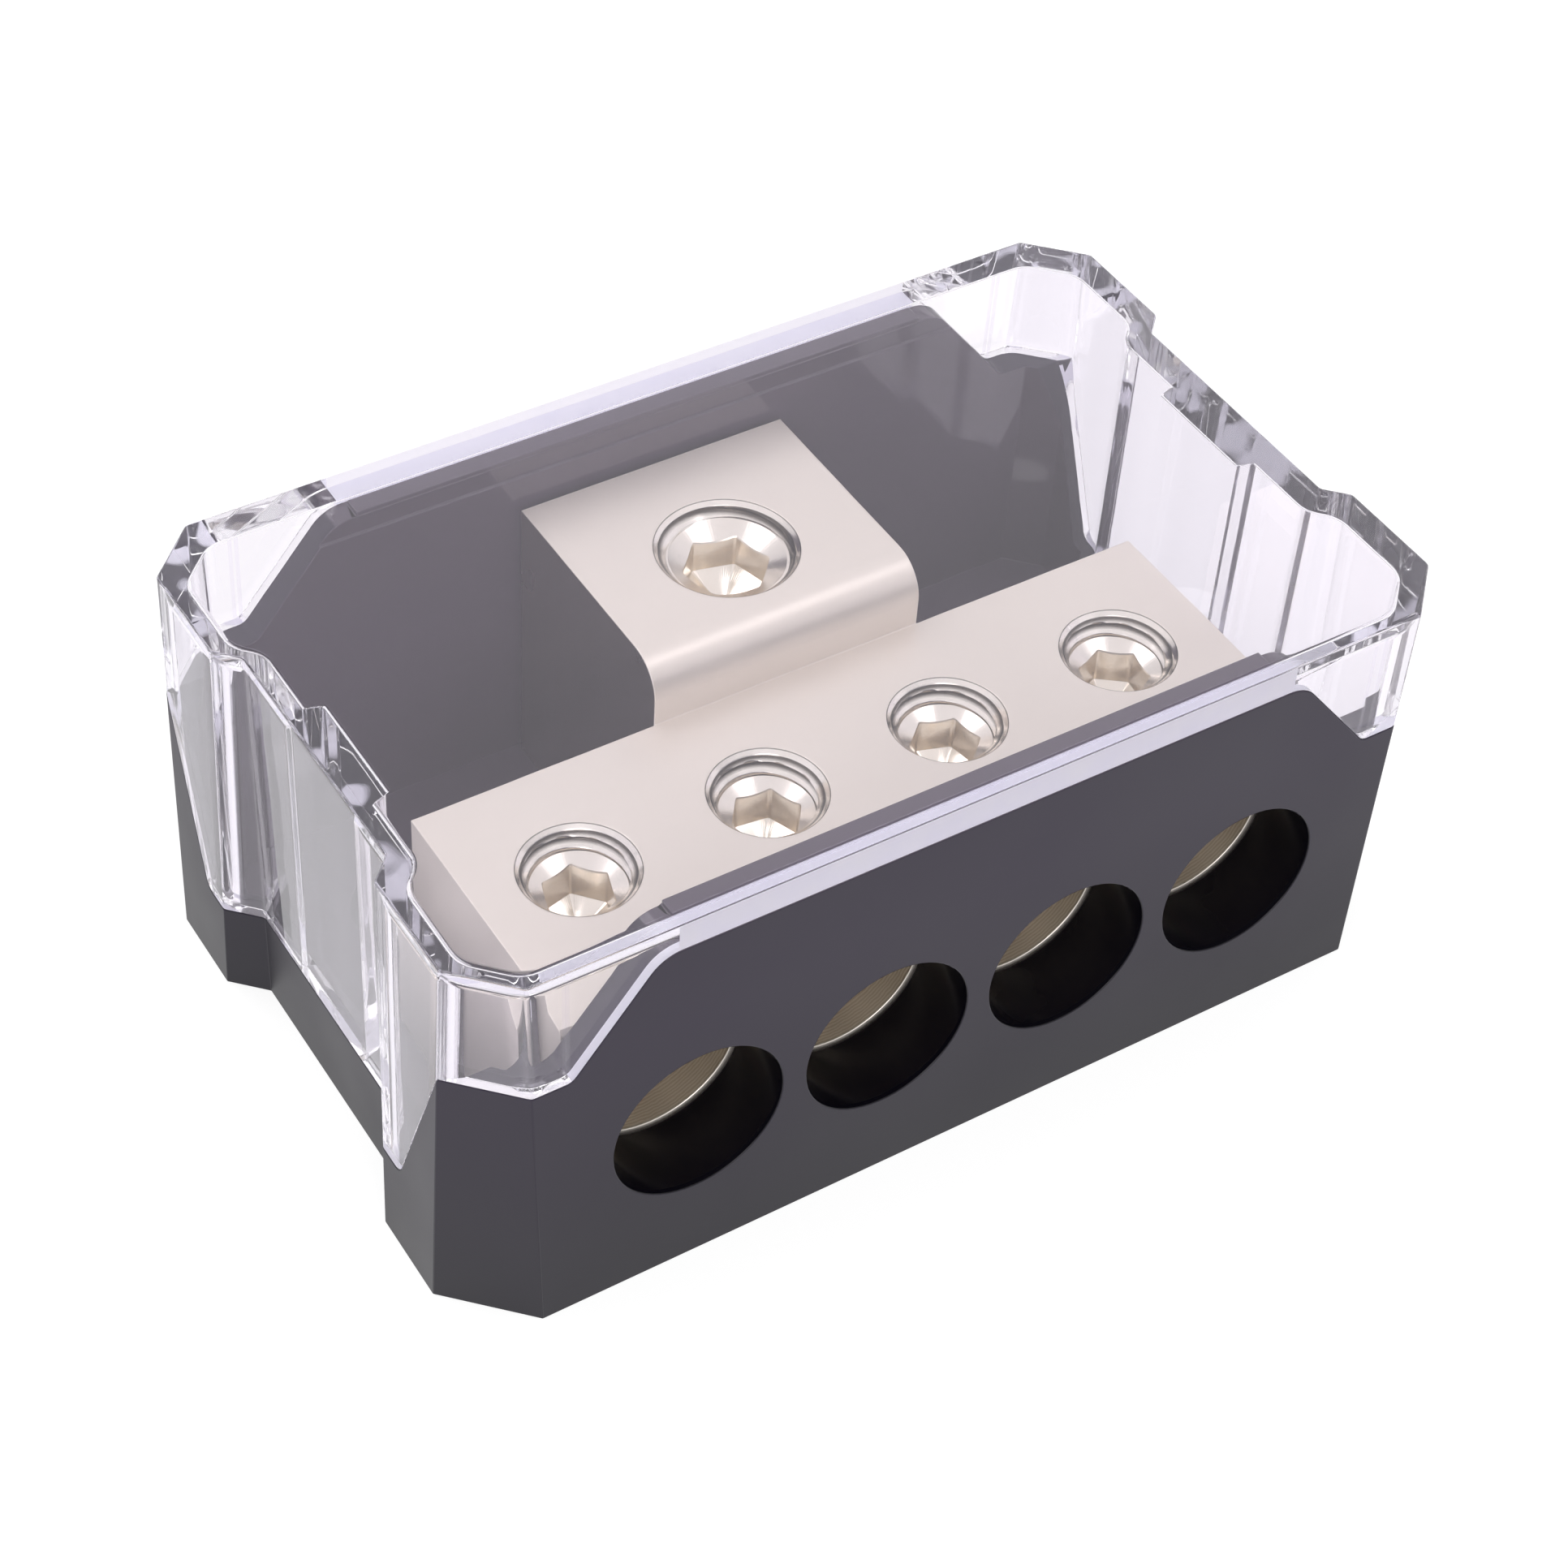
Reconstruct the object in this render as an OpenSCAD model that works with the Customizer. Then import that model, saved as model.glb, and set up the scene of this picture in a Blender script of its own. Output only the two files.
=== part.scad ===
// Power distribution block: one large cable in at the rear, four smaller ones out at the front.
// A dark moulded base holds a plated metal block with five set screws, under a clear lift-off cover.
// The origin is the centre of the underside, X runs along the block, -Y is the side of the four outputs.
// The housing is sized from the inside out: the metal block, the room round it, then the walls.

/* [Metal block] */
// Spacing of the four outputs
out_pitch = 15; // [14.6:0.1:20]
// Metal beyond the first and the last output, from the bore's centre
bar_end = 7.8; // [6.6:0.1:10]
// Depth of the output bar, front to rear
bar_w = 20; // [18:0.1:26]
// Width of the raised input part
hub_w = 22.2; // [21:0.1:30]
// Depth of the raised input part, front to rear
hub_d = 19.4; // [18.4:0.1:26]
// Radius of the input part's front top edge
hub_edge_r = 2.9; // [1:0.1:4]
// Edge break along the bar's front top edge
bar_edge = 0.3; // [0.1:0.1:0.6]
// Height of all cable bores above the floor
bore_h = 10.8; // [10.2:0.1:14]
// Diameter of the metal output bores
out_bore_d = 8; // [6.4:0.1:9]
// Diameter of the metal input bore
in_bore_d = 11; // [9:0.1:12]
// Metal above the output bores, which carries the thread
out_roof = 4.3; // [3.4:0.1:6]
// Metal above the input bore, which carries the thread
in_roof = 8; // [7:0.1:10]
// How far each bore runs on past its set screw
bore_past = 2; // [1:0.1:2.4]
// How far the wide mouth of each bore stands out beyond the bore all round
mouth_step = 1.8; // [0.5:0.1:2]
// Depth of the wide mouths, which end in a flat step
mouth_depth = 4; // [1:0.1:4.5]
// Edge break round the mouths
mouth_edge = 0.2; // [0.1:0.1:0.4]

/* [Set screws] */
// Diameter of the output set screws
out_screw_d = 7.8; // [6:0.1:8.4]
// Length of the output set screws
out_screw_l = 10; // [9:0.1:11]
// How deep the output set screws sit below the bar's top
out_screw_sink = 1.8; // [1:0.1:3]
// Distance of the output screws behind the bar's front face
out_screw_in = 10.5; // [9:0.1:11]
// Diameter of the input set screw
in_screw_d = 9.8; // [8:0.1:10.6]
// Length of the input set screw
in_screw_l = 10; // [9:0.1:12]
// How deep the input set screw sits below the input part's top
in_screw_sink = 1; // [0.4:0.1:2]
// Distance of the input screw in front of the input part's rear face
in_screw_in = 10.6; // [9:0.1:10.8]
// Clearance round every screw
screw_gap = 0.1; // [0.05:0.05:0.2]
// Clearance under the output screws' tips when they are fully down
tip_gap = 0.1; // [0.05:0.05:0.3]
// Edge break at the mouths of the screw holes
hole_edge = 0.4; // [0.2:0.1:0.6]
// Edge break round the screws' tops
rim_edge = 0.3; // [0.1:0.1:0.5]
// Flat ring left between a screw's rim and its dish
rim_land = 0.2; // [0.1:0.1:0.4]
// Bevel of the screws' tips
tip_bevel = 1; // [0.4:0.1:1.4]
// Depth of the dish round each hex socket
dish_depth = 0.5; // [0.2:0.1:0.8]
// Size of a hex socket across its corners, as a share of the screw's diameter
socket_share = 0.67; // [0.5:0.01:0.7]
// Depth of the hex sockets
socket_depth = 4.5; // [3:0.1:6]

/* [Room inside] */
// Gap between the front wall and the bar, mostly taken up by the collars
front_gap = 2; // [1:0.1:4]
// Gap between the input part and the rear wall
rear_gap = 0.6; // [0.3:0.1:3]
// Room between the bar's ends and the end walls, in the recesses
side_room = 4.35; // [2:0.05:8]
// Room above the input part, for the raised screws
head_room = 4.6; // [4.2:0.1:8]

/* [Base] */
// Thickness of the floor
floor_t = 2.8; // [2.6:0.1:4]
// Thickness of the two long walls at the foot
long_wall = 4.3; // [4.1:0.1:5.5]
// Thickness of the end walls at the foot
end_wall = 3; // [2.8:0.1:4]
// Draft of the outer faces in degrees
draft = 1.3; // [0.5:0.1:1.6]
// Size of the upright corner chamfers at the foot
corner_cut = 5.5; // [4:0.1:7]
// Depth of the recess in each end
end_recess = 2.4; // [1.6:0.1:3]
// Half the width of the flat bottom of each end recess
recess_half = 10.3; // [7:0.1:11.5]
// Height of the corner posts
post_h = 23; // [20:0.1:25]
// Length of a post's top along the long side, chamfer included
post_l = 7.9; // [7.2:0.1:10]
// Slope of the long walls' shoulders in degrees
shoulder_slope = 51; // [45:1:60]
// Radius of the upper bend of a shoulder
shoulder_r = 3; // [1:0.1:4]
// Radius of the lower bends, at the posts and in the end notches
foot_r = 1; // [0.4:0.1:1.5]
// Height of the low end walls
end_wall_h = 7.9; // [6:0.1:12]
// How far the slanting sides of an end notch run in, from the post to the low wall
notch_run = 5.3; // [3:0.1:6]
// Thickness of the lip that stands inside the cover
lip_t = 1.5; // [1:0.1:1.6]
// Height of the lip above the long walls
lip_rise = 0.4; // [0.2:0.1:1]
// Distance of the lip's ends from the shoulders' sharp corners
lip_end = 1.8; // [1.5:0.1:4]
// Depth of the ledge inside the long walls, below their top
ledge_drop = 0.5; // [0.3:0.1:1]

/* [Cover] */
// Thickness of the cover's walls
cover_wall = 1.7; // [1.4:0.1:1.9]
// Thickness of the cover's top plate
plate_t = 1.8; // [1.2:0.1:2.4]
// Width of the bevel round the cover's top
top_bevel = 0.2; // [0.1:0.1:1]
// Gap between the cover and the lip, at its side and above it
cover_gap = 0.2; // [0.1:0.05:0.3]
// Half the width of the pad inside each end wall
pad_half = 4.8; // [3:0.1:7]
// Thickness of the pad inside each end wall
pad_t = 1.3; // [0.8:0.1:1.3]

/* [Cable entries] */
// Diameter of the output entries in the base
out_entry_d = 13; // [12:0.1:13.6]
// Diameter of the input entry in the base
in_entry_d = 17.4; // [16:0.1:18]
// Edge break round each entry
entry_edge = 0.1; // [0.1:0.1:0.3]
// Thickness of the collar round each output entry, inside the front wall
collar_t = 1.2; // [0.8:0.1:1.2]
// Gap between the collars and the bar
collar_gap = 0.3; // [0.1:0.1:0.6]

/* [Fixings] */
// Diameter of the two screws that hold the metal block down
hold_screw_d = 3.8; // [3:0.1:4.2]
// Length of those screws, head included
hold_screw_l = 7.4; // [6:0.1:8]
// Diameter of their countersunk heads
hold_head_d = 7.4; // [6:0.1:7.6]
// Depth of the heads' rims
hold_rim = 0.3; // [0.2:0.1:0.4]
// How far the heads lie above the underside
hold_sink = 0.3; // [0.1:0.1:0.4]
// Width of the cross recess in their heads
cross_w = 0.9; // [0.6:0.1:1.2]
// Depth of the cross recess in their heads
cross_depth = 1.2; // [0.8:0.1:1.6]
// Diameter of the two mounting holes in the floor
mount_d = 4.4; // [3.5:0.1:5]
// Diameter of the mounting holes' countersinks
mount_head_d = 8.4; // [7:0.1:9]
// Distance of the mounting holes from the input part's sides
mount_side = 12.9; // [7:0.1:15]
// Distance of the mounting holes behind the output bar
mount_back = 10; // [7:0.1:12]

/* [Hidden] */
$fn = 96;
over = 1;
arc_steps = 8;

// Outer size, from the inside out
body_l = 3*out_pitch + 2*(bar_end + side_room + end_wall + end_recess);
body_w = 2*long_wall + front_gap + bar_w + hub_d + rear_gap;

// Heights
bore_z = floor_t + bore_h;
bar_top = bore_z + out_bore_d/2 + out_roof;
hub_top = bore_z + in_bore_d/2 + in_roof;
plate_z = hub_top + head_room;
body_h = plate_z + plate_t;
lip_top = plate_z - cover_gap;
long_wall_h = lip_top - lip_rise;

// Places of the metal block and its bores
front_wall_y = long_wall - body_w/2;
rear_wall_y = body_w/2 - long_wall;
front_y = front_wall_y + front_gap;
bar_rear_y = front_y + bar_w;
hub_rear_y = rear_wall_y - rear_gap;
bar_half = 1.5*out_pitch + bar_end;
out_x = [for (i = [0:3]) (i - 1.5)*out_pitch];
out_y = front_y + out_screw_in;
in_y = hub_rear_y - in_screw_in;
out_bore_l = out_screw_in + out_screw_d/2 + bore_past;
in_bore_l = in_screw_in + in_screw_d/2 + bore_past;

// Tops of the set screws and places of the fixings
out_screw_top = bar_top - out_screw_sink;
in_screw_top = hub_top - in_screw_sink;
hold_y = front_y + bar_w/2;
mount_x = hub_w/2 + mount_side;
mount_y = bar_rear_y + mount_back;

// The stepped line on which the cover stands
high_half = body_l/2 - post_l - (long_wall_h - post_h)/tan(shoulder_slope);
lip_half = high_half - lip_end;
recess_x = body_l/2 - end_recess;
notch_top = (body_w/2 - corner_cut) + post_h*tan(draft);
notch_foot = notch_top - notch_run;

// Outline of the housing from above, with its ends and its sides drawn in from the foot
function plan(end_in, side_in, lean = 0) =
    let (hl = body_l/2 - end_in - lean,
         hw = body_w/2 - side_in - lean,
         corner = (body_l + body_w)/2 - corner_cut - end_in*sqrt(2),
         turn = recess_x - recess_half - end_in*sqrt(2),
         rx = recess_x - end_in,
         q = [[rx, rx - turn], [hl, hl - turn], [hl, corner - hl], [corner - hw, hw]])
    concat(q,
           [for (i = [3:-1:0]) [-q[i].x, q[i].y]],
           [for (p = q) -p],
           [for (i = [3:-1:0]) [q[i].x, -q[i].y]]);

// Points that round the corner p between its neighbours a and b to radius r
function corner_arc(a, p, b, r) =
    let (u = (a - p)/norm(a - p),
         v = (b - p)/norm(b - p),
         half = acos(u*v)/2,
         c = p + (u + v)/norm(u + v)*r/sin(half),
         s = p + u*r/tan(half) - c,
         e = p + v*r/tan(half) - c,
         from = atan2(s.y, s.x),
         swing = atan2(s.x*e.y - s.y*e.x, s*e))
    [for (k = [0:arc_steps]) c + r*[cos(from + swing*k/arc_steps), sin(from + swing*k/arc_steps)]];

// An outline whose corners are rounded to the radii given, 0 for a sharp one
function rounded(pts, radii) =
    let (n = len(pts))
    [for (i = [0:n - 1]) each radii[i] == 0 ? [pts[i]]
        : corner_arc(pts[(i + n - 1) % n], pts[i], pts[(i + 1) % n], radii[i])];

// Lays a profile in Y and Z along X, centred
module along_x(length) {
    rotate([90, 0, 90]) linear_extrude(length, center = true) children();
}

// Lays a profile in X and Z along Y, centred
module along_y(length) {
    rotate([90, 0, 0]) linear_extrude(length, center = true) children();
}

// A round hole or collar along Y, from one y to another
module round_y(x, z, from, to, d1, d2) {
    translate([x, from, z]) rotate([-90, 0, 0]) cylinder(d1 = d1, d2 = d2, h = to - from);
}

// The drafted form of the housing, drawn in all round, from the underside up to a height
module drafted_form(inset, top) {
    lean = top*tan(draft);
    hl = body_l/2 - inset;
    hw = body_w/2 - inset;
    intersection() {
        linear_extrude(top) polygon(plan(inset, inset));
        along_y(body_w + over) polygon([[-hl, 0], [hl, 0], [hl - lean, top], [lean - hl, top]]);
        along_x(body_l + over) polygon([[-hw, 0], [hw, 0], [hw - lean, top], [lean - hw, top]]);
    }
}

// All that lies below the stepped line: long walls with shoulders, posts, and notches in the ends
module below_line() {
    reach = body_l/2 + over;
    post_x = body_l/2 - post_l;
    shoulders = rounded(
        [[-reach, -over], [reach, -over], [reach, post_h], [post_x, post_h], [high_half, long_wall_h],
         [-high_half, long_wall_h], [-post_x, post_h], [-reach, post_h]],
        [0, 0, 0, foot_r, shoulder_r, shoulder_r, foot_r, 0]);
    notch = rounded(
        [[-notch_foot, end_wall_h], [notch_foot, end_wall_h], [notch_top, post_h], [notch_top, body_h],
         [-notch_top, body_h], [-notch_top, post_h]],
        [foot_r, foot_r, 0, 0, 0, 0]);
    notch_x = recess_x - end_wall - over;
    difference() {
        along_y(body_w + 2*over) polygon(shoulders);
        for (side = [-1, 1])
            translate([side*(notch_x + reach)/2, 0, 0]) along_x(reach - notch_x + over) polygon(notch);
    }
}

// The lip along each long wall, which stands inside the cover
module lips() {
    side_in = cover_wall + cover_gap;
    intersection() {
        difference() {
            drafted_form(side_in, lip_top);
            drafted_form(side_in + lip_t, lip_top + over);
        }
        for (side = [-1, 1])
            translate([-lip_half, side*body_w/2 - long_wall, long_wall_h - ledge_drop])
                cube([2*lip_half, 2*long_wall, body_h]);
    }
}

// Room inside the walls, wider above the ledge
module base_room() {
    translate([0, 0, floor_t])
        linear_extrude(long_wall_h - ledge_drop - floor_t) polygon(plan(end_wall, long_wall));
    intersection() {
        drafted_form(cover_wall + cover_gap + lip_t, body_h);
        translate([-body_l/2, -body_w/2, long_wall_h - ledge_drop - over]) cube([body_l, body_w, body_h]);
    }
}

// Collars inside the front wall, which lead the cables on to the bar
module collars() {
    collar_d = out_entry_d + 2*collar_t;
    for (x = out_x)
        round_y(x, bore_z, front_wall_y - over, front_y - collar_gap, collar_d, collar_d);
}

// Cable entries through the walls, with their outer edges broken
module entries() {
    face = body_w/2 - bore_z*tan(draft);
    edge = entry_edge + out_entry_d/2*tan(draft);
    for (x = out_x) {
        round_y(x, bore_z, -body_w/2 - over, front_y + over, out_entry_d, out_entry_d);
        round_y(x, bore_z, -face - edge, edge - face, out_entry_d + 4*edge, out_entry_d);
    }
    round_y(0, bore_z, hub_rear_y - over, body_w/2 + over, in_entry_d, in_entry_d);
    round_y(0, bore_z, face - edge, face + edge, in_entry_d, in_entry_d + 4*edge);
}

// Countersunk holes in the floor: two from below for the block, two from above for mounting
module floor_holes() {
    cone_h = (hold_head_d - hold_screw_d)/2;
    head_d = hold_head_d + 2*screw_gap;
    shank_d = hold_screw_d + 2*screw_gap;
    for (side = [-1, 1]) {
        translate([side*out_pitch, hold_y, 0]) {
            translate([0, 0, -over]) cylinder(d = shank_d, h = floor_t + 2*over);
            translate([0, 0, -over]) cylinder(d = head_d, h = hold_sink + hold_rim + over);
            translate([0, 0, hold_sink + hold_rim]) cylinder(d1 = head_d, d2 = shank_d, h = cone_h);
        }
        translate([side*mount_x, mount_y, 0]) {
            translate([0, 0, -over]) cylinder(d = mount_d, h = floor_t + 2*over);
            translate([0, 0, floor_t - (mount_head_d - mount_d)/2])
                cylinder(d1 = mount_d, d2 = mount_head_d, h = (mount_head_d - mount_d)/2);
        }
    }
}

module base_housing() {
    color("#3a383d") difference() {
        union() {
            difference() {
                intersection() {
                    drafted_form(0, body_h);
                    below_line();
                }
                base_room();
            }
            lips();
            collars();
        }
        entries();
        floor_holes();
    }
}

// A wedge that bevels the top edge of an upright face, which looks along a turned X axis
module top_wedge(angle, face, from, to) {
    rotate([0, 0, angle]) translate([0, (from + to)/2, 0]) along_y(to - from)
        polygon([[face - top_bevel - over, body_h + over], [face + over, body_h - top_bevel - over],
                 [face + over, body_h + over]]);
}

// The cover's outside, with a bevel all round its top
module cover_outside() {
    lean = body_h*tan(draft);
    corner_face = ((body_l + body_w)/2 - corner_cut)/sqrt(2);
    return_face = (recess_x - recess_half)/sqrt(2);
    return_from = (recess_x + recess_half)/sqrt(2);
    difference() {
        drafted_form(0, body_h);
        for (end = [0, 180]) {
            top_wedge(end, body_l/2 - lean, -body_w, body_w);
            top_wedge(end, recess_x, -recess_half, recess_half);
            top_wedge(end + 90, body_w/2 - lean, -body_l, body_l);
            for (side = [-45, 45])
                top_wedge(end + side, corner_face, -body_w, body_w);
            top_wedge(end - 45, return_face, return_from, body_l);
            top_wedge(end + 45, return_face, -body_l, -return_from);
        }
    }
}

module clear_cover() {
    pad_x = recess_x - cover_wall - pad_t;
    color([0.86, 0.85, 0.93, 0.35]) difference() {
        union() {
            difference() {
                cover_outside();
                drafted_form(cover_wall, plate_z);
            }
            for (side = [-1, 1])
                translate([side*(pad_x + pad_t), 0, (end_wall_h + body_h)/2])
                    cube([2*pad_t, 2*pad_half, plate_z - end_wall_h + plate_t], center = true);
        }
        below_line();
    }
}

// A blind cable bore, from the origin up: broken edge, wide mouth, a flat step, then the bore itself
module cable_bore(d, length) {
    mouth_r = d/2 + mouth_step;
    rotate_extrude() polygon(
        [[0, -over], [mouth_r + mouth_edge + over, -over], [mouth_r, mouth_edge], [mouth_r, mouth_depth],
         [d/2, mouth_depth], [d/2, length], [0, length]]);
}

// A tapped hole from above, with its edge broken
module screw_hole(x, y, top, bottom, d) {
    translate([x, y, bottom]) cylinder(d = d, h = top - bottom + over);
    translate([x, y, top - hole_edge]) cylinder(d1 = d, d2 = d + 4*hole_edge, h = 2*hole_edge);
}

module terminal_block() {
    out_hole_d = out_screw_d + 2*screw_gap;
    color("#d9d2c9") difference() {
        union() {
            along_x(2*bar_half)
                polygon([[front_y, floor_t], [bar_rear_y, floor_t], [bar_rear_y, bar_top],
                         [front_y + bar_edge, bar_top], [front_y, bar_top - bar_edge]]);
            along_x(hub_w) difference() {
                union() {
                    translate([bar_rear_y, floor_t]) square([hub_d, hub_top - floor_t]);
                    translate([bar_rear_y - over, floor_t]) square([2*over, bar_top - floor_t - over]);
                }
                translate([bar_rear_y, hub_top - hub_edge_r]) difference() {
                    translate([-over, 0]) square([hub_edge_r + over, hub_edge_r + over]);
                    translate([hub_edge_r, 0]) circle(hub_edge_r);
                }
            }
        }
        for (x = out_x) {
            translate([x, front_y, bore_z]) rotate([-90, 0, 0]) cable_bore(out_bore_d, out_bore_l);
            screw_hole(x, out_y, bar_top, out_screw_top - out_screw_l - tip_gap, out_hole_d);
        }
        translate([0, hub_rear_y, bore_z]) rotate([90, 0, 0]) cable_bore(in_bore_d, in_bore_l);
        screw_hole(0, in_y, hub_top, bore_z, in_screw_d + 2*screw_gap);
        for (side = [-1, 1])
            translate([side*out_pitch, hold_y, floor_t - over])
                cylinder(d = hold_screw_d + 2*screw_gap, h = over + hold_sink + hold_screw_l - floor_t + tip_gap);
    }
}

// A set screw with its top at the origin: bevelled tip, dished top and a hex socket
module set_screw(d, l) {
    socket_d = d*socket_share;
    color("#cdc6bb") difference() {
        rotate_extrude() polygon(
            [[0, -l], [d/2 - tip_bevel, -l], [d/2, tip_bevel - l], [d/2, -rim_edge], [d/2 - rim_edge, 0],
             [d/2 - rim_edge - rim_land, 0], [socket_d/2, -dish_depth], [0, -dish_depth]]);
        translate([0, 0, -socket_depth]) cylinder(d = socket_d, h = socket_depth, $fn = 6);
    }
}

module input_screw() {
    translate([0, in_y, in_screw_top]) set_screw(in_screw_d, in_screw_l);
}

module output_screw(i) {
    translate([out_x[i], out_y, out_screw_top]) set_screw(out_screw_d, out_screw_l);
}

// A countersunk screw that holds the metal block, head down, with a cross recess
module block_screw(side) {
    cone_h = (hold_head_d - hold_screw_d)/2;
    tip = hold_screw_d/8;
    color("#a9a8a6") translate([side*out_pitch, hold_y, hold_sink]) difference() {
        rotate_extrude() polygon(
            [[0, 0], [hold_head_d/2, 0], [hold_head_d/2, hold_rim], [hold_screw_d/2, hold_rim + cone_h],
             [hold_screw_d/2, hold_screw_l - tip], [hold_screw_d/2 - tip, hold_screw_l], [0, hold_screw_l]]);
        for (turn = [0, 90])
            rotate([0, 0, turn]) cube([hold_head_d*0.6, cross_w, 2*cross_depth], center = true);
    }
}

base_housing();
clear_cover();
terminal_block();
input_screw();
output_screw(0);  // output_screw_1
output_screw(1);  // output_screw_2
output_screw(2);  // output_screw_3
output_screw(3);  // output_screw_4
block_screw(-1);  // block_screw_left
block_screw(1);  // block_screw_right
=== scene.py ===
import math
import bmesh
import bpy
import numpy as np
from mathutils import Matrix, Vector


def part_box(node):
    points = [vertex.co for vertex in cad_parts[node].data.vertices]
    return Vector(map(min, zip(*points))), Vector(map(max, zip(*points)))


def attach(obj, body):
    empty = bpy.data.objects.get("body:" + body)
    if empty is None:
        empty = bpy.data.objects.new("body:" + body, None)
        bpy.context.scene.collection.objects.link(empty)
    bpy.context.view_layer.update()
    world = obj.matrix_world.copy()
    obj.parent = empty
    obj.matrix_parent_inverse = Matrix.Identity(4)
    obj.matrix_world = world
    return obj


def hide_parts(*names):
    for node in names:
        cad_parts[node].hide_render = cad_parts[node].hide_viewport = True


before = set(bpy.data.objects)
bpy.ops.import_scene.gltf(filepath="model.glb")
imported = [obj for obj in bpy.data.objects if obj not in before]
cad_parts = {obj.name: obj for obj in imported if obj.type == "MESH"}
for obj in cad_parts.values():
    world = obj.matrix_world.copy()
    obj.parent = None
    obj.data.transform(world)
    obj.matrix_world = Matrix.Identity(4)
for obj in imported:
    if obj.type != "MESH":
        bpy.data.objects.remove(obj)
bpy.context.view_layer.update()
mm = 0.001      # the shapes below are worked out in millimetres
edgeAngle = 28      # bends of the CAD shapes sharper than this, in degrees, are edges
cleaning = {"together": 0.004, "flatWithin": 0.6}      # doubles in millimetres, flat faces in degrees
print("frame loaded with", len(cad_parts), "nodes")


def boxOf(node):
    # lowest and highest corner of a node, in millimetres
    low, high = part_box(node)
    return np.array(low) / mm, np.array(high) / mm


# meshes from grids of points

def meshFrom(name, points, faces):
    mesh = bpy.data.meshes.new(name)
    mesh.from_pydata((points * mm).tolist(), [], faces)
    mesh.update()
    piece = bpy.data.objects.new(name, mesh)
    bpy.context.scene.collection.objects.link(piece)
    return piece


def ringFaces(rings, stations, closed=False):
    # quads between neighbouring rings, each ring closed on itself
    row = np.arange(rings if closed else rings - 1)[:, None]
    col = np.arange(stations)[None, :]
    nextRow = (row + 1) % rings
    nextCol = (col + 1) % stations
    quads = np.stack([row * stations + col, row * stations + nextCol,
                      nextRow * stations + nextCol, nextRow * stations + col], axis=-1)
    return quads.reshape(-1, 4).tolist()


def cappedSurface(name, rings):
    # a skin over rings of points (rows x stations x 3), with a flat cap at both ends
    rows, stations = rings.shape[:2]
    faces = ringFaces(rows, stations)
    faces.append(list(range(stations))[::-1])
    faces.append(list(range((rows - 1) * stations, rows * stations)))
    return meshFrom(name, rings.reshape(-1, 3), faces)


def poledSurface(name, rings, startPole, endPole):
    # a skin over rings of points, each end closed on one point
    rows, stations = rings.shape[:2]
    points = np.vstack([rings.reshape(-1, 3), startPole, endPole])
    faces = ringFaces(rows, stations)
    last = (rows - 1) * stations
    start = rows * stations
    for i in range(stations):
        j = (i + 1) % stations
        faces.append([start, j, i])
        faces.append([start + 1, last + i, last + j])
    return meshFrom(name, points, faces)


def smoothBut(piece, angle):
    # smooth shading, apart from edges sharper than the angle in degrees
    piece.data.polygons.foreach_set("use_smooth", np.ones(len(piece.data.polygons), bool))
    piece.data.set_sharp_from_angle(angle=math.radians(angle))
    return piece


def flatFacesFirst(piece):
    # the normals follow the large faces, so that flat walls stay flat beside their rounded edges
    weighted = piece.modifiers.new("faceNormals", "WEIGHTED_NORMAL")
    weighted.weight = 100
    weighted.keep_sharp = True
    return piece


def mergedCopy(name, node):
    # the CAD node's own shape as one clean mesh, its triangles joined into flat faces
    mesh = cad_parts[node].data.copy()
    mesh.name = name
    mesh.materials.clear()
    work = bmesh.new()
    work.from_mesh(mesh)
    bmesh.ops.remove_doubles(work, verts=work.verts, dist=cleaning["together"] * mm)
    bmesh.ops.dissolve_limit(work, angle_limit=math.radians(cleaning["flatWithin"]), verts=work.verts,
                             edges=work.edges)
    work.to_mesh(mesh)
    work.free()
    piece = bpy.data.objects.new(name, mesh)
    bpy.context.scene.collection.objects.link(piece)
    return piece


def breakEdges(piece, width):
    # narrow rounded edges, the width in millimetres
    bevel = piece.modifiers.new("brokenEdges", "BEVEL")
    bevel.width = width * mm
    bevel.segments = 2
    bevel.limit_method = "ANGLE"
    bevel.angle_limit = math.radians(edgeAngle)
    bevel.use_clamp_overlap = False
    bevel.miter_outer = "MITER_ARC"
    return piece


def giveMaterials(piece, materials, slots):
    # the piece's materials, and for each of its faces the number of the material that it shows
    for material in materials:
        piece.data.materials.append(material)
    piece.data.polygons.foreach_set("material_index", slots.astype(np.int32))


# materials

def newMaterial(name):
    material = bpy.data.materials.new(name)
    material.use_nodes = True
    nodes = material.node_tree.nodes
    return material, nodes, material.node_tree.links, nodes["Principled BSDF"]


def objectNoise(nodes, links, scale, detail, stretch=(1, 1, 1)):
    # noise that stays with the object; a stretch below 1 draws it out along that axis
    place = nodes.new("ShaderNodeTexCoord")
    mapping = nodes.new("ShaderNodeMapping")
    mapping.inputs["Scale"].default_value = stretch
    noise = nodes.new("ShaderNodeTexNoise")
    noise.inputs["Scale"].default_value = scale
    noise.inputs["Detail"].default_value = detail
    links.new(place.outputs["Object"], mapping.inputs["Vector"])
    links.new(mapping.outputs["Vector"], noise.inputs["Vector"])
    return noise


def spread(nodes, links, source, low, high, fromLow=0.3, fromHigh=0.7):
    # carries a value from the range fromLow to fromHigh, a noise's own unless given, to the range low to high
    ramp = nodes.new("ShaderNodeMapRange")
    ramp.inputs["From Min"].default_value = fromLow
    ramp.inputs["From Max"].default_value = fromHigh
    ramp.inputs["To Min"].default_value = low
    ramp.inputs["To Max"].default_value = high
    links.new(source, ramp.inputs["Value"])
    return ramp.outputs["Result"]


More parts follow.
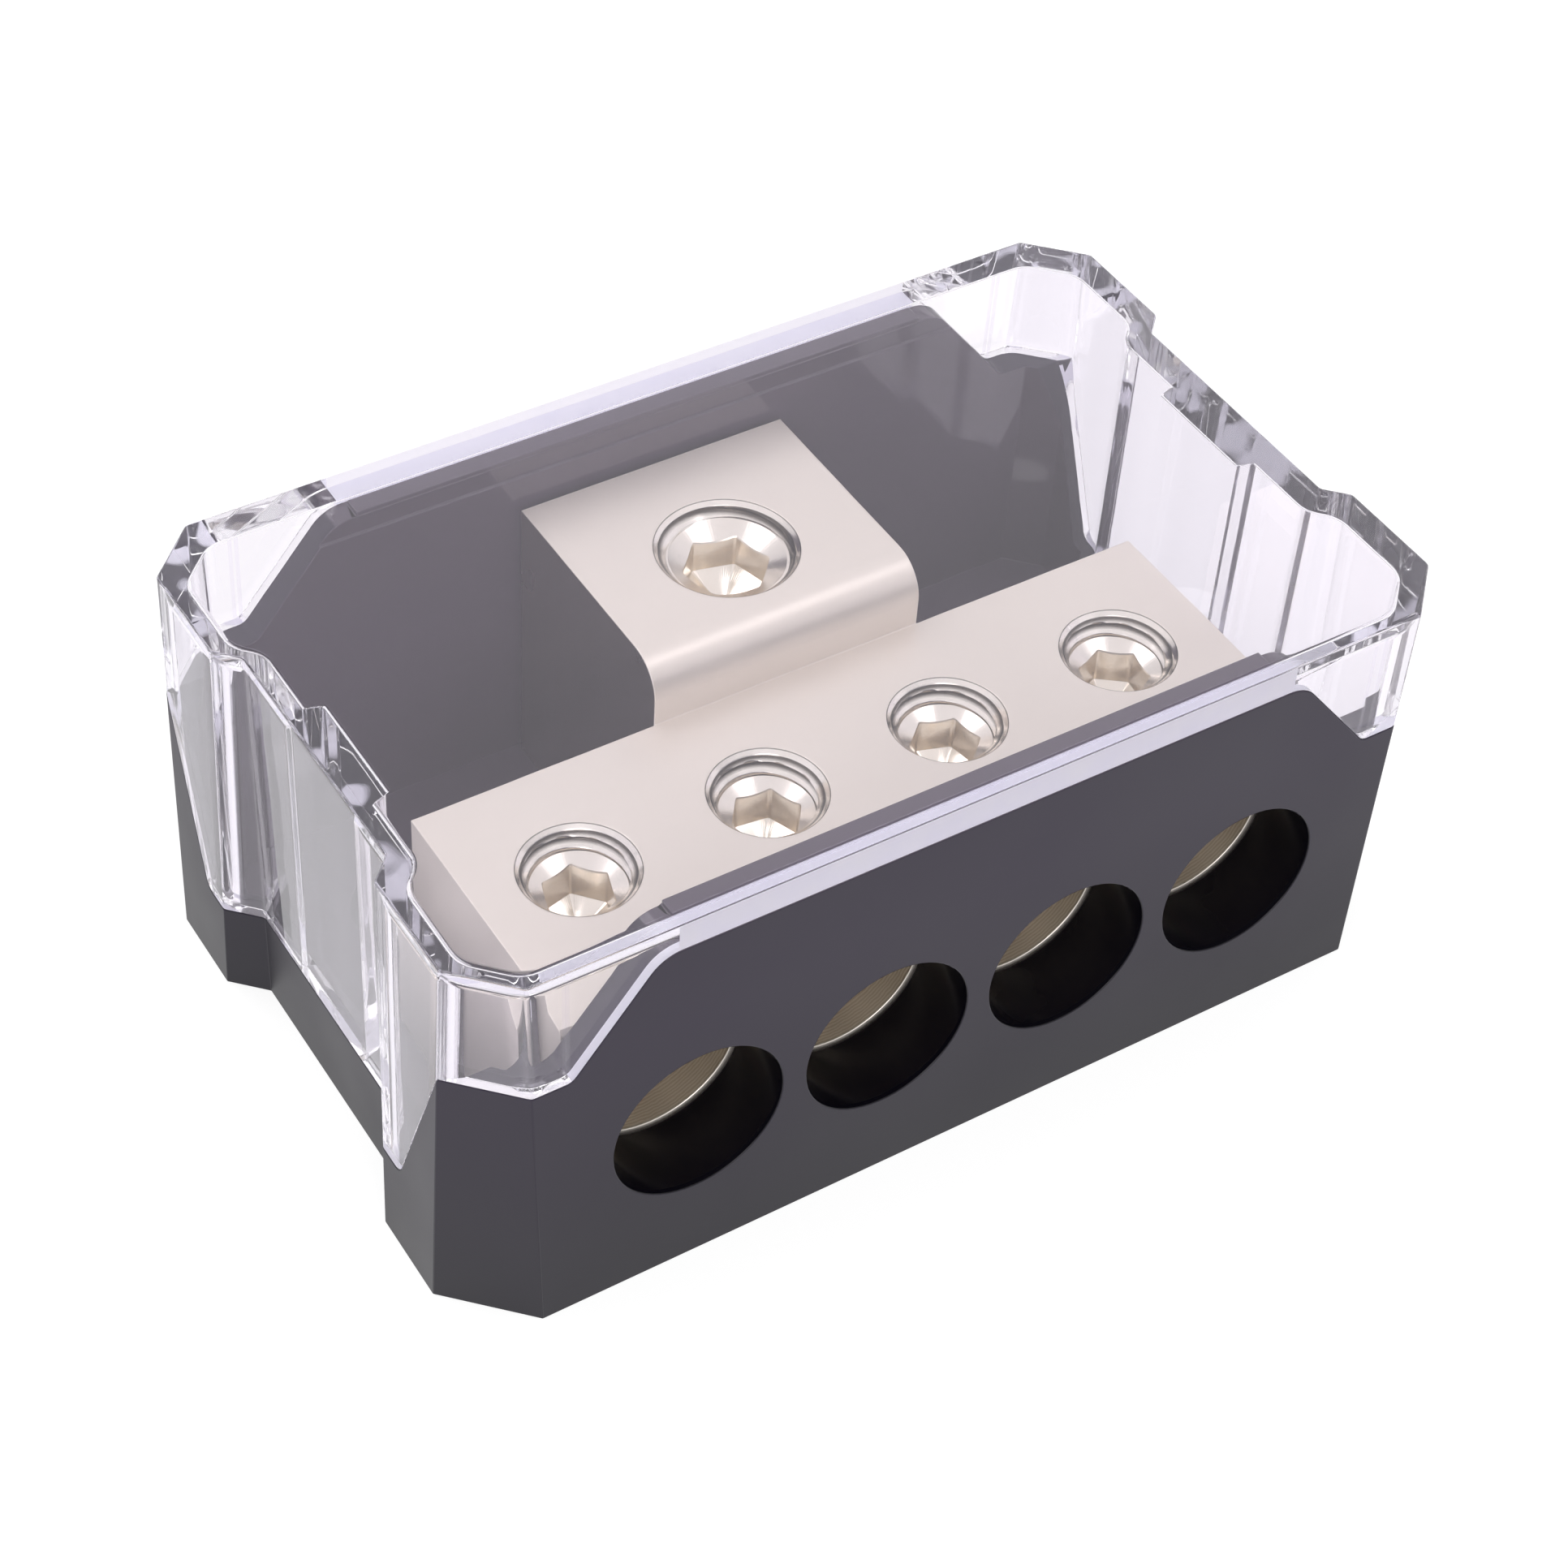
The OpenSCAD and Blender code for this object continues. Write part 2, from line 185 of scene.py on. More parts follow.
def mixedColour(nodes, links, factor, first, second):
    # first times (1 - factor) plus second times factor
    mix = nodes.new("ShaderNodeMix")
    mix.data_type = "RGBA"
    mix.inputs[6].default_value = (*first, 1)      # sockets 6 and 7 are the two colours, output 2 the mix
    mix.inputs[7].default_value = (*second, 1)
    links.new(factor, mix.inputs["Factor"])
    return mix.outputs[2]


def bumped(nodes, links, shader, height, distance, strength):
    # relief from a height of 0 to 1, as deep as the distance in millimetres
    bump = nodes.new("ShaderNodeBump")
    bump.inputs["Distance"].default_value = distance * mm
    bump.inputs["Strength"].default_value = strength
    links.new(height, bump.inputs["Height"])
    links.new(bump.outputs["Normal"], shader.inputs["Normal"])


# the foot tones paint shade at the bottom of the walls, for the floor's shadow seen in them
satinLook = {"dark": (0.018, 0.012, 0.029), "light": (0.026, 0.018, 0.039), "foot": (0.004, 0.002, 0.009),
             "roughness": (0.34, 0.44), "grainScale": 5200, "grainDepth": 0.006, "ior": 1.44}
# the room's walls: the same black plastic painted lighter, painted light for the light they get inside the
# housing
litRoomLook = {"dark": (0.073, 0.057, 0.082), "light": (0.086, 0.068, 0.096), "foot": (0.086, 0.068, 0.094),
            "roughness": (0.05, 0.09), "grainScale": 1300, "grainDepth": 0.0004, "ior": 1.5}
# the entry tubes: the same black plastic painted darker, painted shade inside the tubes
shadedTubeLook = {"dark": (0.003, 0.0026, 0.005), "light": (0.006, 0.005, 0.009), "foot": (0.003, 0.0026, 0.005),
            "roughness": (0.16, 0.30), "grainScale": 900, "grainDepth": 0.002, "ior": 1.3}
moulding = {"slowScale": 60, "slowDetail": 3, "grainDetail": 2, "grainStrength": 0.35, "footShadeHeight": 24}


def mouldedPlastic(name, look):
    # black moulded plastic: a fine eroded grain, slow changes of tone and gloss, and at the foot a painted
    # shade, for the floor's shadow seen in the lower faces, which fades out up to the foot height
    material, nodes, links, shader = newMaterial(name)
    slow = objectNoise(nodes, links, moulding["slowScale"], moulding["slowDetail"])
    grain = objectNoise(nodes, links, look["grainScale"], moulding["grainDetail"])
    place = nodes.new("ShaderNodeTexCoord")
    height = nodes.new("ShaderNodeSeparateXYZ")
    links.new(place.outputs["Object"], height.inputs["Vector"])
    # painted shade: the foot tone at the bottom, blending into the plain tone up to the foot height
    shade = nodes.new("ShaderNodeMix")
    shade.data_type = "RGBA"
    shade.inputs[6].default_value = (*look["foot"], 1)
    links.new(spread(nodes, links, height.outputs["Z"], 0, 1, 0, moulding["footShadeHeight"] * mm),
              shade.inputs["Factor"])
    links.new(mixedColour(nodes, links, slow.outputs["Fac"], look["dark"], look["light"]), shade.inputs[7])
    links.new(shade.outputs[2], shader.inputs["Base Color"])
    links.new(spread(nodes, links, slow.outputs["Fac"], *look["roughness"]), shader.inputs["Roughness"])
    bumped(nodes, links, shader, grain.outputs["Fac"], look["grainDepth"], moulding["grainStrength"])
    shader.inputs["IOR"].default_value = look["ior"]
    return material


blockLook = {"dark": (0.82, 0.752, 0.682), "light": (0.87, 0.805, 0.735), "grooveShade": (0.30, 0.25, 0.21),
             "roughness": (0.33, 0.40), "grainDepth": 0.0012, "metal": 0.4}
# the hub's upright sides: the block's nickel painted darker, painted shade where less light falls than on the
# top
shadedSideLook = {"dark": (0.62, 0.57, 0.54), "light": (0.68, 0.63, 0.60), "grooveShade": (0.30, 0.25, 0.21),
            "roughness": (0.26, 0.32), "grainDepth": 0.0008, "metal": 1.0}
threadLook = {"dark": (0.84, 0.79, 0.73), "light": (0.90, 0.86, 0.80), "grooveShade": (0.10, 0.085, 0.07),
              "roughness": (0.14, 0.22), "grainDepth": 0.0008, "metal": 1.0}
screwLook = {"dark": (0.80, 0.745, 0.68), "light": (0.87, 0.82, 0.76), "grooveShade": (0.22, 0.18, 0.145),
             "roughness": (0.16, 0.24), "grainDepth": 0.0008, "metal": 0.9}
socketLook = {"dark": (0.80, 0.735, 0.64), "light": (0.90, 0.845, 0.76), "grooveShade": (0.3, 0.25, 0.2),
              "roughness": (0.14, 0.26), "grainDepth": 0.0020, "metal": 0.9}
plating = {"slowScale": 90, "grainScale": 3600, "detail": 3, "grainStrength": 0.3,
           "grooveFrom": 0.45, "grooveTo": 0.85}


def nickel(name, look):
    # plated metal: a fine satin grain, tone and gloss that vary slowly, and painted shade in the grooves of
    # the threads
    material, nodes, links, shader = newMaterial(name)
    slow = objectNoise(nodes, links, plating["slowScale"], plating["detail"])
    grain = objectNoise(nodes, links, plating["grainScale"], plating["detail"])
    grooveShade = nodes.new("ShaderNodeAttribute")
    grooveShade.attribute_name = "grooveShade"
    # painted shade: the groove colour darkens the threads' grooves
    shade = nodes.new("ShaderNodeMix")
    shade.data_type = "RGBA"
    shade.inputs[7].default_value = (*look["grooveShade"], 1)
    links.new(mixedColour(nodes, links, slow.outputs["Fac"], look["dark"], look["light"]), shade.inputs[6])
    links.new(spread(nodes, links, grooveShade.outputs["Fac"], 0, 1, plating["grooveFrom"], plating["grooveTo"]),
              shade.inputs["Factor"])
    links.new(shade.outputs[2], shader.inputs["Base Color"])
    links.new(spread(nodes, links, slow.outputs["Fac"], *look["roughness"]), shader.inputs["Roughness"])
    bumped(nodes, links, shader, grain.outputs["Fac"], look["grainDepth"], plating["grainStrength"])
    shader.inputs["Metallic"].default_value = look["metal"]
    return material


boreLook = {"dark": (0.72, 0.65, 0.56), "light": (0.90, 0.84, 0.76), "ringScale": 1400, "distortion": 3.0,
            "detail": 2.0, "roughness": (0.28, 0.40), "ringDepth": 0.004, "ringStrength": 0.4}


def boredMetal(name):
    # metal painted darker and browner as shade inside the bores, with the fine rings that a drill leaves
    # along a bore
    material, nodes, links, shader = newMaterial(name)
    place = nodes.new("ShaderNodeTexCoord")
    rings = nodes.new("ShaderNodeTexWave")
    rings.bands_direction = "Y"
    rings.inputs["Scale"].default_value = boreLook["ringScale"]
    rings.inputs["Distortion"].default_value = boreLook["distortion"]
    rings.inputs["Detail"].default_value = boreLook["detail"]
    links.new(place.outputs["Object"], rings.inputs["Vector"])
    links.new(mixedColour(nodes, links, rings.outputs["Fac"], boreLook["dark"], boreLook["light"]),
              shader.inputs["Base Color"])
    links.new(spread(nodes, links, rings.outputs["Fac"], *boreLook["roughness"]), shader.inputs["Roughness"])
    bumped(nodes, links, shader, rings.outputs["Fac"], boreLook["ringDepth"], boreLook["ringStrength"])
    shader.inputs["Metallic"].default_value = 1.0
    return material


coverLook = {"tint": (0.985, 0.965, 0.998), "gleam": (0.94, 0.90, 1.0), "shadowTint": (0.95, 0.94, 0.965),
             "ior": 1.585, "waveScale": 140, "waveDepth": 0.012, "hazeScale": 700, "haze": 0.015}
rimLook = {"dark": (0.85, 0.835, 0.97), "light": (0.92, 0.905, 1.0), "letThrough": 0.1}
rearLook = {"dark": (0.93, 0.90, 0.98), "light": (0.98, 0.955, 1.0), "letThrough": 0.75}
frontLook = {"dark": (0.88, 0.84, 1.0), "light": (0.96, 0.925, 1.0), "letThrough": 0.3}
frosting = {"scale": 400, "detail": 2, "roughness": (0.4, 0.55), "shadowTint": (0.85, 0.84, 0.88)}
patchLook = {"scale": 300, "clearBelow": 0.56, "mattAbove": 0.64,
             "clearRoughness": 0.01, "mattRoughness": 0.5}
streakLook = {"tint": (0.95, 0.91, 1.0), "scale": 260, "stretch": (1, 1, 0.05), "clearShare": (0.89, 0.95)}


def lampsShineThrough(nodes, links, surface, tint):
    # shadow rays pass with a tint, all other rays meet the surface
    clear = nodes.new("ShaderNodeBsdfTransparent")
    clear.inputs["Color"].default_value = (*tint, 1)
    path = nodes.new("ShaderNodeLightPath")
    mix = nodes.new("ShaderNodeMixShader")
    links.new(path.outputs["Is Shadow Ray"], mix.inputs["Fac"])
    links.new(surface, mix.inputs[1])
    links.new(clear.outputs["BSDF"], mix.inputs[2])
    links.new(mix.outputs["Shader"], nodes["Material Output"].inputs["Surface"])


def clearPlastic(name):
    # clear moulded plastic with a faint waviness; lamps shine through it
    material, nodes, links, shader = newMaterial(name)
    wave = objectNoise(nodes, links, coverLook["waveScale"], 1)
    haze = objectNoise(nodes, links, coverLook["hazeScale"], 2)
    shader.inputs["Base Color"].default_value = (*coverLook["tint"], 1)
    shader.inputs["Transmission Weight"].default_value = 1.0
    shader.inputs["IOR"].default_value = coverLook["ior"]
    shader.inputs["Specular Tint"].default_value = (*coverLook["gleam"], 1)
    links.new(spread(nodes, links, haze.outputs["Fac"], 0.0, coverLook["haze"]), shader.inputs["Roughness"])
    bumped(nodes, links, shader, wave.outputs["Fac"], coverLook["waveDepth"], 1.0)
    lampsShineThrough(nodes, links, shader.outputs["BSDF"], coverLook["shadowTint"])
    return material


def frostedEdge(name, look):
    # the cover's matt rim, which scatters the light that runs along inside it and lets a share of it through
    material, nodes, links, shader = newMaterial(name)
    mottle = objectNoise(nodes, links, frosting["scale"], frosting["detail"])
    tone = mixedColour(nodes, links, mottle.outputs["Fac"], look["dark"], look["light"])
    links.new(tone, shader.inputs["Base Color"])
    links.new(spread(nodes, links, mottle.outputs["Fac"], *frosting["roughness"]), shader.inputs["Roughness"])
    through = nodes.new("ShaderNodeBsdfTranslucent")
    links.new(tone, through.inputs["Color"])
    mix = nodes.new("ShaderNodeMixShader")
    mix.inputs["Fac"].default_value = look["letThrough"]
    links.new(shader.outputs["BSDF"], mix.inputs[1])
    links.new(through.outputs["BSDF"], mix.inputs[2])
    lampsShineThrough(nodes, links, mix.outputs["Shader"], frosting["shadowTint"])
    return material


def patchyEdge(name):
    # the cover's rim at its ends, partly matt and partly clear
    material, nodes, links, shader = newMaterial(name)
    patches = objectNoise(nodes, links, patchLook["scale"], 0)
    matt = spread(nodes, links, patches.outputs["Fac"], 0, 1, patchLook["clearBelow"], patchLook["mattAbove"])
    links.new(mixedColour(nodes, links, patches.outputs["Fac"], rimLook["dark"], rimLook["light"]),
              shader.inputs["Base Color"])
    links.new(spread(nodes, links, matt, 1, 0, 0, 1), shader.inputs["Transmission Weight"])
    links.new(spread(nodes, links, matt, patchLook["clearRoughness"], patchLook["mattRoughness"], 0, 1),
              shader.inputs["Roughness"])
    shader.inputs["IOR"].default_value = coverLook["ior"]
    lampsShineThrough(nodes, links, shader.outputs["BSDF"], frosting["shadowTint"])
    return material


def streakedPlastic(name):
    # the cover's end walls: clear, with faint milky streaks that run upright
    material, nodes, links, shader = newMaterial(name)
    streaks = objectNoise(nodes, links, streakLook["scale"], 1, streakLook["stretch"])
    wave = objectNoise(nodes, links, coverLook["waveScale"], 1)
    shader.inputs["Base Color"].default_value = (*streakLook["tint"], 1)
    links.new(spread(nodes, links, streaks.outputs["Fac"], *streakLook["clearShare"]),
              shader.inputs["Transmission Weight"])
    shader.inputs["IOR"].default_value = coverLook["ior"]
    shader.inputs["Roughness"].default_value = coverLook["haze"]
    bumped(nodes, links, shader, wave.outputs["Fac"], coverLook["waveDepth"], 1.0)
    lampsShineThrough(nodes, links, shader.outputs["BSDF"], coverLook["shadowTint"])
    return material


zincLook = {"dark": (0.42, 0.42, 0.41), "light": (0.56, 0.56, 0.54), "scale": 1500, "detail": 3,
            "roughness": (0.25, 0.45), "mottleDepth": 0.01, "mottleStrength": 0.3}


def zincSteel(name):
    # zinc plated steel with a fine mottle
    material, nodes, links, shader = newMaterial(name)
    mottle = objectNoise(nodes, links, zincLook["scale"], zincLook["detail"])
    links.new(mixedColour(nodes, links, mottle.outputs["Fac"], zincLook["dark"], zincLook["light"]),
              shader.inputs["Base Color"])
    links.new(spread(nodes, links, mottle.outputs["Fac"], *zincLook["roughness"]), shader.inputs["Roughness"])
    bumped(nodes, links, shader, mottle.outputs["Fac"], zincLook["mottleDepth"], zincLook["mottleStrength"])
    shader.inputs["Metallic"].default_value = 1.0
    return material


satinPlastic = mouldedPlastic("satinPlastic", satinLook)
litRoomPlastic = mouldedPlastic("litRoomPlastic", litRoomLook)
shadedTubePlastic = mouldedPlastic("shadedTubePlastic", shadedTubeLook)
blockNickel = nickel("blockNickel", blockLook)
shadedSideNickel = nickel("shadedSideNickel", shadedSideLook)
threadNickel = nickel("threadNickel", threadLook)
screwNickel = nickel("screwNickel", screwLook)
socketNickel = nickel("socketNickel", socketLook)
shadedBoreMetal = boredMetal("shadedBoreMetal")
coverPlastic = clearPlastic("coverPlastic")
mattRim = frostedEdge("mattRim", rimLook)
rearStrip = frostedEdge("rearStrip", rearLook)
frontStrip = frostedEdge("frontStrip", frontLook)
patchyRim = patchyEdge("patchyRim")
streakedWall = streakedPlastic("streakedWall")
fixingSteel = zincSteel("fixingSteel")
print("materials made")


# the housing's outline, which the cover shares with the base

baseLow, baseHigh = boxOf("base_housing")
coverLow, coverHigh = boxOf("clear_cover")
housing = {
    "length": baseHigh[0] - baseLow[0], "width": baseHigh[1] - baseLow[1], "height": coverHigh[2],
    "draft": 1.3, "cornerCut": 5.5, "recess": 2.4, "recessHalf": 10.3,
    "wallTop": baseHigh[2] - 0.4, "postTop": 23.0, "postLength": 7.9, "slope": 51,
    "shoulderRound": 3.0, "footRound": 1.0, "endTop": coverLow[2], "notchRun": 5.3, "notchDeep": 4.0,
}
lean = math.tan(math.radians(housing["draft"]))
postX = housing["length"] / 2 - housing["postLength"]
highX = postX - (housing["wallTop"] - housing["postTop"]) / math.tan(math.radians(housing["slope"]))
recessX = housing["length"] / 2 - housing["recess"]
notchTop = housing["width"] / 2 - housing["cornerCut"] + housing["postTop"] * lean
notchFoot = notchTop - housing["notchRun"]
cornerSigns = ((1, 1, False), (-1, 1, True), (-1, -1, False), (1, -1, True))


def outlineCorners(z, inset):
    # the 16 corners at height z, drawn in by the inset: half length and half width lose z times the lean,
    # while the recesses and the chamfers (x + y constant) stay upright
    halfLong = housing["length"] / 2 - inset - z * lean
    halfWide = housing["width"] / 2 - inset - z * lean
    chamfer = (housing["length"] + housing["width"]) / 2 - housing["cornerCut"] - inset * math.sqrt(2)
    turn = recessX - housing["recessHalf"] - inset * math.sqrt(2)
    deep = recessX - inset
    quarter = np.stack([np.stack([deep, deep - turn], -1), np.stack([halfLong, halfLong - turn], -1),
                        np.stack([halfLong, chamfer - halfLong], -1),
                        np.stack([chamfer - halfWide, halfWide], -1)], -2)
    return np.concatenate([(quarter[..., ::-1, :] if back else quarter) * (sx, sy)
                           for sx, sy, back in cornerSigns], -2)


def stepDown(t, highT, highZ, lowT, lowZ, highRound, lowRound):
    # a line that runs level, slopes down from highT to lowT and runs level again, its two bends arcs
    angle = math.atan2(highZ - lowZ, lowT - highT)
    z = np.clip(highZ - (t - highT) * math.tan(angle), lowZ, highZ)
    reach = highRound * math.tan(angle / 2)
    near = (t > highT - reach) & (t < highT + reach * math.cos(angle))
    arc = highZ - highRound + np.sqrt(np.maximum(highRound**2 - (t - highT + reach)**2, 0))
    z = np.where(near, arc, z)
    reach = lowRound * math.tan(angle / 2)
    near = (t > lowT - reach * math.cos(angle)) & (t < lowT + reach)
    arc = lowZ + lowRound - np.sqrt(np.maximum(lowRound**2 - (t - lowT - reach)**2, 0))
    return np.where(near, arc, z)


def partingHeight(x, y):
    # the stepped line on which the cover stands: shoulders along X, notches in the ends along Y
    shoulder = stepDown(np.abs(x), highX, housing["wallTop"], postX, housing["postTop"],
                        housing["shoulderRound"], housing["footRound"])
    notch = stepDown(-np.abs(y), -notchTop, housing["postTop"], -notchFoot, housing["endTop"],
                     0.0, housing["footRound"])
    inEnd = np.abs(x) > recessX - housing["notchDeep"]
    return np.where(inEnd, np.minimum(shoulder, notch), shoulder)


# clear cover

cover = {"wall": 1.7, "plate": 1.8, "seat": 0.03, "topRound": 0.2, "roomRound": 0.35, "rimRound": 0.12,
         "cornerRound": 0.55, "roomCorner": 2.6, "padHalf": 4.8, "padThick": 1.3, "padRound": 0.3,
         "cornerSteps": 7, "highSteps": 9, "footSteps": 6, "notchSteps": 7, "padSteps": 7, "roundSteps": 5,
         "stripEnd": 1, "upright": 0.1, "facing": 0.9, "smoothWithin": 40}


def wallPlaces():
    # where straight walls need points of their own: the shoulders' x, the notches' y and the pads' y
    slopeAngle = math.radians(housing["slope"])
    high = housing["shoulderRound"] * math.tan(slopeAngle / 2)
    foot = housing["footRound"] * math.tan(slopeAngle / 2)
    highXs = np.linspace(highX - high, highX + high * math.cos(slopeAngle), cover["highSteps"])
    footXs = np.linspace(postX - foot * math.cos(slopeAngle), postX + foot, cover["footSteps"])
    longX = np.concatenate([highXs, footXs])
    notchAngle = math.atan2(housing["postTop"] - housing["endTop"], housing["notchRun"])
    low = housing["footRound"] * math.tan(notchAngle / 2)
    endY = np.linspace(notchFoot - low, notchFoot + low * math.cos(notchAngle), cover["notchSteps"])
    padY = cover["padHalf"] + cover["padRound"] * np.linspace(-1, 1, cover["padSteps"])
    return longX, endY, padY


def coverStations():
    # a row per station: kind (0 arc, 1 fixed x, 2 fixed y), corner, share of the arc or x or y, pad share
    longX, endY, padY = wallPlaces()
    rows = []
    for quarter, (sx, sy, back) in enumerate(cornerSigns):
        for i in range(4):
            corner = 4 * quarter + i
            rows += [(0, corner, share, 0) for share in np.linspace(0, 1, cover["cornerSteps"])]
            if i == 1:      # a post's end face, where a notch begins
                rows += [(2, corner, sy * y, 0) for y in (endY[::-1] if back else endY)]
            if i == 3 and back:      # the bottom of an end recess, with its pad, whose edges are soft steps
                ys = np.concatenate([padY[::-1], -padY]) * sy
                share = 0.5 - 0.5 * np.sin(np.linspace(-1, 1, len(padY)) * np.pi / 2)
                rows += [(2, corner, y, pad) for y, pad in zip(ys, np.concatenate([share[::-1], share]))]
            if i == 3 and not back:      # a long side, with both its shoulders
                xs = np.concatenate([longX[::-1], -longX]) * sx
                rows += [(1, corner, x, 0) for x in xs]
    return np.array(rows)


stations = coverStations()


def outlinePoints(z, inset, inRoom):
    # a point for every station, on a corner's arc or on a wall at a fixed x or y; inRoom is 1 for the inside.
    # an arc's centre lies on its corner's bisector, radius over the sine of half the corner's angle away
    kind, corner, value, pad = stations.T
    corner = corner.astype(int)
    z = np.broadcast_to(z, (len(stations),)).astype(float)
    every = outlineCorners(z, np.broadcast_to(inset, z.shape))
    pick = np.arange(len(stations))
    p = every[pick, corner]
    a = every[pick, (corner - 1) % 16]
    b = every[pick, (corner + 1) % 16]
    u = (a - p) / np.linalg.norm(a - p, axis=1, keepdims=True)
    v = (b - p) / np.linalg.norm(b - p, axis=1, keepdims=True)
    half = np.arccos(np.clip((u * v).sum(1), -1, 1)) / 2
    hollow = (-u[:, 0] * v[:, 1] + u[:, 1] * v[:, 0]) < 0
    roundOut = cover["roomCorner"] if inRoom else cover["cornerRound"]
    radius = np.where(hollow, cover["cornerRound"] + inset, roundOut)
    middle = (u + v) / np.linalg.norm(u + v, axis=1, keepdims=True)
    centre = p + middle * (radius / np.sin(half))[:, None]
    start = p + u * (radius / np.tan(half))[:, None] - centre
    end = p + v * (radius / np.tan(half))[:, None] - centre
    swing = np.arctan2(start[:, 0] * end[:, 1] - start[:, 1] * end[:, 0], (start * end).sum(1))
    turned = np.arctan2(start[:, 1], start[:, 0]) + swing * value
    onArc = centre + radius[:, None] * np.stack([np.cos(turned), np.sin(turned)], 1)
    run = b - p
    share = np.where(kind == 1, (value - p[:, 0]) / np.where(np.abs(run[:, 0]) < 1e-9, 1, run[:, 0]),
                     (value - p[:, 1]) / np.where(np.abs(run[:, 1]) < 1e-9, 1, run[:, 1]))
    onWall = p + run * share[:, None]
    onWall[:, 0] -= np.sign(onWall[:, 0]) * pad * inRoom * cover["padThick"]
    return np.where((kind == 0)[:, None], onArc, onWall)


def levelRow(inset, height, inRoom):
    # a row at one height
    z = np.full(len(stations), float(height))
    return np.column_stack([outlinePoints(z, inset, inRoom), z])


def steppedRow(inset, rise, inRoom):
    # a row that runs a rise above the stepped line; as the walls lean, its height is found in a few turns
    z = np.full(len(stations), housing["postTop"])
    for _ in range(4):
        xy = outlinePoints(z, inset, inRoom)
        z = partingHeight(xy[:, 0], xy[:, 1]) + rise
    return np.column_stack([outlinePoints(z, inset, inRoom), z])


def coverSurface():
    # one closed skin round the outline: inner ceiling, inner wall, rim on the stepped line, outer wall, top;
    # each edge is a quarter circle, its offsets radius times (1 - sine) and radius times (1 - cosine)
    wall, seat = cover["wall"], cover["seat"]
    top, ceiling = housing["height"], housing["height"] - cover["plate"]
    room, rim, edge = cover["roomRound"], cover["rimRound"], cover["topRound"]
    quarter = np.linspace(0, np.pi / 2, cover["roundSteps"])
    offsets = [(1 - math.sin(a), 1 - math.cos(a)) for a in quarter]
    rows = [levelRow(wall + room * bySine, ceiling - room * byCosine, 1) for bySine, byCosine in offsets]
    rows += [steppedRow(wall - rim * byCosine, seat + rim * bySine, 1) for bySine, byCosine in offsets[::2]]
    rows += [steppedRow(rim * bySine, seat + rim * byCosine, 0) for bySine, byCosine in offsets[::2]]
    rows += [levelRow(edge * byCosine, top - edge * bySine, 0) for bySine, byCosine in offsets]
    return np.array(rows)


def pointData(piece):
    # places of all the points, in millimetres
    points = np.empty(len(piece.data.vertices) * 3)
    piece.data.vertices.foreach_get("co", points)
    return points.reshape(-1, 3) / mm


def placePoints(piece, points):
    # moves all the points to places in millimetres
    piece.data.vertices.foreach_set("co", (points * mm).ravel())
    piece.data.update()


def faceData(piece):
    # centres in millimetres and normals of all the faces
    faces = piece.data.polygons
    centres, normals = np.empty(len(faces) * 3), np.empty(len(faces) * 3)
    faces.foreach_get("center", centres)
    faces.foreach_get("normal", normals)
    return centres.reshape(-1, 3) / mm, normals.reshape(-1, 3)


clearCover = cappedSurface("clear_cover_shell", coverSurface())
coverSlots = (coverPlastic, mattRim, rearStrip, frontStrip, patchyRim, streakedWall)
centres, normals = faceData(clearCover)
rim = centres[:, 2] < partingHeight(centres[:, 0], centres[:, 1]) + cover["seat"] + cover["rimRound"] / 2
middle = np.abs(centres[:, 0]) < highX - cover["stripEnd"]
ends = np.abs(centres[:, 0]) > postX
rear = centres[:, 1] > 0
endWall = ends & (np.abs(normals[:, 2]) < cover["upright"]) & (normals[:, 0] * centres[:, 0] > 0)
slots = np.where(endWall, coverSlots.index(streakedWall), coverSlots.index(coverPlastic))
slots = np.where(rim & np.where(rear, middle, ~ends), coverSlots.index(mattRim), slots)
slots = np.where(middle & rear & (normals[:, 1] > cover["facing"]), coverSlots.index(rearStrip), slots)
slots = np.where(middle & ~rear & (normals[:, 1] < -cover["facing"]), coverSlots.index(frontStrip), slots)
slots = np.where(rim & ends, coverSlots.index(patchyRim), slots)
giveMaterials(clearCover, coverSlots, slots)
flatFacesFirst(smoothBut(clearCover, cover["smoothWithin"]))
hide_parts("clear_cover")
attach(clearCover, "cover")
print("cover made:", len(clearCover.data.vertices), "points")


# base housing: the CAD shape with its moulded edges broken

base = {"edge": 0.08, "rim": 0.06, "flare": 1, "onFace": 0.01, "roomX": 37.3, "roomY": 21.3, "roomFoot": 2.7,
        "lipY": 22.9, "lipFoot": 30.4, "boreHeight": 13.6, "tubeFrom": {-1: 19.4, 1: 20.5}, "tubeReach": 0.1,
        "tubeTilt": 0.4}
entries = ((-22.5, -1, 6.5), (-7.5, -1, 6.5), (7.5, -1, 6.5), (22.5, -1, 6.5),
           (0, 1, 8.7))      # x, side, radius


def inTubes(centres, nearest, extra=0.0):
    # faces within the entries' radii and an extra of their axes, farther out than the y given for that side
    found = np.zeros(len(centres), bool)
    for x, side, radius in entries:
        away = np.hypot(centres[:, 0] - x, centres[:, 2] - base["boreHeight"])
        found |= (away < radius + extra) & (centres[:, 1] * side > nearest[side])
    return found


